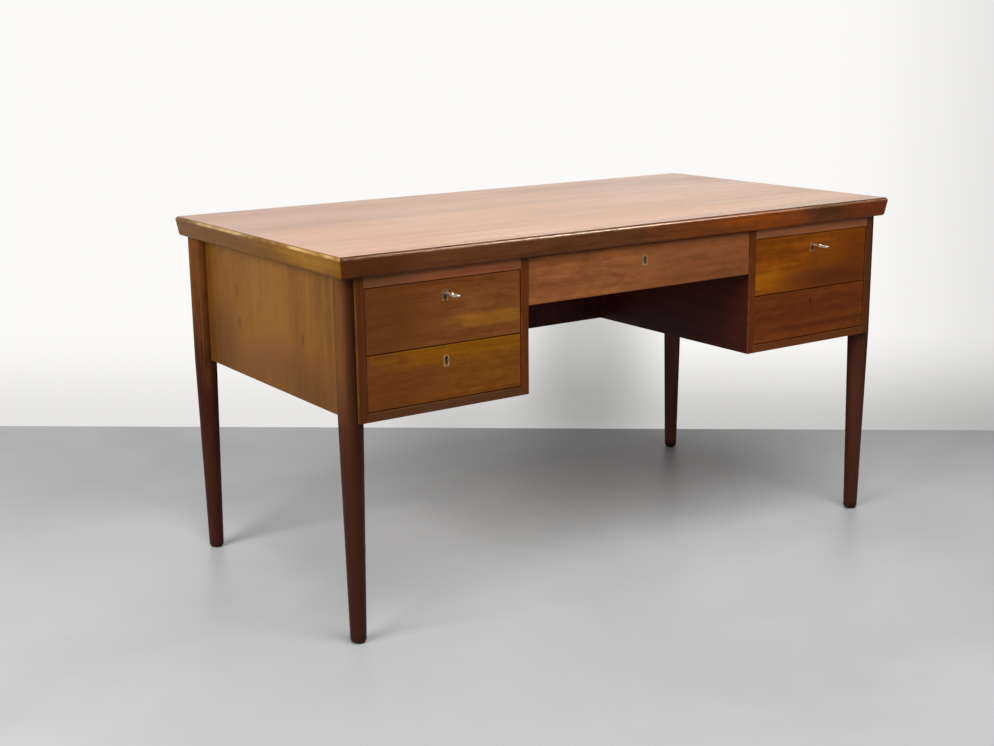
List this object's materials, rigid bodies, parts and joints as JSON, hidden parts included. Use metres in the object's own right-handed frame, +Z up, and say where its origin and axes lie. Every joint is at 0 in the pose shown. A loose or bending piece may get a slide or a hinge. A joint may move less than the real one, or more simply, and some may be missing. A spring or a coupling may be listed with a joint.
{
  "type": "writing desk",
  "caption": "Free-standing wooden writing desk: undercut lipped top, hung pedestals of locking drawers, shallow drawer over the kneehole, open bookcase back, turned tapered legs.",
  "frame": {"origin": "on the floor, under the middle of the top", "axes": "+X along the desk, to the right as seen from the drawers; +Y from the drawer fronts to the back; +Z up"},
  "size_m": [1.398, 0.7594, 0.735],
  "materials": {
    "top_veneer": "oiled teak veneer, satin",
    "lip_teak": "oiled solid teak, satin",
    "leg_teak": "oiled turned teak, satin",
    "case_teak": "oiled teak veneer, satin",
    "front_teak": "oiled teak veneer, satin",
    "drawer_beech": "plain beech, sealed",
    "drawer_plywood": "thin plywood, sealed",
    "runner_beech": "plain beech, waxed",
    "plate_brass": "dull aged brass",
    "bolt_brass": "drawn brass",
    "lock_steel": "rolled steel, dull",
    "key_steel": "nickel plated steel, worn"
  },
  "bodies": {
    "case": {"bookcase_floor": "case_teak", "end_panel_left": "case_teak", "end_panel_right": "case_teak", "front_rail_left": "case_teak", "front_rail_right": "case_teak", "inner_side_left": "case_teak", "inner_side_right": "case_teak", "kneehole_back": "case_teak", "leg_back_left": "leg_teak", "leg_back_right": "leg_teak", "leg_front_left": "leg_teak", "leg_front_right": "leg_teak", "pedestal_back_left": "case_teak", "pedestal_back_right": "case_teak", "pedestal_bottom_left": "case_teak", "pedestal_bottom_right": "case_teak", "rear_rail": "case_teak", "runners_centre": "runner_beech", "runners_left": "runner_beech", "runners_right": "runner_beech", "top_lip_back": "lip_teak", "top_lip_front": "lip_teak", "top_lip_left": "lip_teak", "top_lip_right": "lip_teak", "top_panel": "top_veneer"},
    "left_upper_drawer": {"left_upper_drawer_bottom": "drawer_plywood", "left_upper_drawer_frame": "drawer_beech", "left_upper_drawer_front": "front_teak", "left_upper_keyhole_plate": "plate_brass", "left_upper_lock": "lock_steel"},
    "left_lower_drawer": {"left_lower_drawer_bottom": "drawer_plywood", "left_lower_drawer_frame": "drawer_beech", "left_lower_drawer_front": "front_teak", "left_lower_keyhole_plate": "plate_brass", "left_lower_lock": "lock_steel"},
    "centre_drawer": {"centre_drawer_bottom": "drawer_plywood", "centre_drawer_frame": "drawer_beech", "centre_drawer_front": "front_teak", "centre_keyhole_plate": "plate_brass", "centre_lock": "lock_steel"},
    "right_upper_drawer": {"right_upper_drawer_bottom": "drawer_plywood", "right_upper_drawer_frame": "drawer_beech", "right_upper_drawer_front": "front_teak", "right_upper_keyhole_plate": "plate_brass", "right_upper_lock": "lock_steel"},
    "right_lower_drawer": {"right_lower_drawer_bottom": "drawer_plywood", "right_lower_drawer_frame": "drawer_beech", "right_lower_drawer_front": "front_teak", "right_lower_lock": "lock_steel"},
    "left_upper_bolt": {"left_upper_lock_bolt": "bolt_brass"},
    "left_lower_bolt": {"left_lower_lock_bolt": "bolt_brass"},
    "centre_bolt": {"centre_lock_bolt": "bolt_brass"},
    "right_upper_bolt": {"right_upper_lock_bolt": "bolt_brass"},
    "right_lower_bolt": {"right_lower_lock_bolt": "bolt_brass"},
    "left_upper_key": {"left_upper_key": "key_steel"},
    "right_upper_key": {"right_upper_key": "key_steel"}
  },
  "joints": [
    {"name": "left_upper_drawer_slide", "type": "slide", "parent": "case", "child": "left_upper_drawer", "axis": [0, -1, 0], "range_m": [0, 0.34]},
    {"name": "left_lower_drawer_slide", "type": "slide", "parent": "case", "child": "left_lower_drawer", "axis": [0, -1, 0], "range_m": [0, 0.34]},
    {"name": "centre_drawer_slide", "type": "slide", "parent": "case", "child": "centre_drawer", "axis": [0, -1, 0], "range_m": [0, 0.34]},
    {"name": "right_upper_drawer_slide", "type": "slide", "parent": "case", "child": "right_upper_drawer", "axis": [0, -1, 0], "range_m": [0, 0.34]},
    {"name": "right_lower_drawer_slide", "type": "slide", "parent": "case", "child": "right_lower_drawer", "axis": [0, -1, 0], "range_m": [0, 0.34]},
    {"name": "left_upper_bolt_slide", "type": "slide", "parent": "left_upper_drawer", "child": "left_upper_bolt", "axis": [0, 0, 1], "range_m": [0, 0.008]},
    {"name": "left_lower_bolt_slide", "type": "slide", "parent": "left_lower_drawer", "child": "left_lower_bolt", "axis": [0, 0, 1], "range_m": [0, 0.008]},
    {"name": "centre_bolt_slide", "type": "slide", "parent": "centre_drawer", "child": "centre_bolt", "axis": [0, 0, 1], "range_m": [0, 0.008]},
    {"name": "right_upper_bolt_slide", "type": "slide", "parent": "right_upper_drawer", "child": "right_upper_bolt", "axis": [0, 0, 1], "range_m": [0, 0.008]},
    {"name": "right_lower_bolt_slide", "type": "slide", "parent": "right_lower_drawer", "child": "right_lower_bolt", "axis": [0, 0, 1], "range_m": [0, 0.008]},
    {"name": "left_upper_key_turn", "type": "hinge", "parent": "left_upper_drawer", "child": "left_upper_key", "pos_m": [-0.47475, -0.35, 0.6475], "axis": [0, -1, 0], "range_deg": [0, 90]},
    {"name": "right_upper_key_turn", "type": "hinge", "parent": "right_upper_drawer", "child": "right_upper_key", "pos_m": [0.47475, -0.35, 0.6475], "axis": [0, -1, 0], "range_deg": [0, 90]}
  ],
  "couplings": [
    {"joint": "left_upper_key_turn", "follows": "left_upper_bolt_slide", "rad_per_m": 196.35},
    {"joint": "right_upper_key_turn", "follows": "right_upper_bolt_slide", "rad_per_m": 196.35}
  ]
}
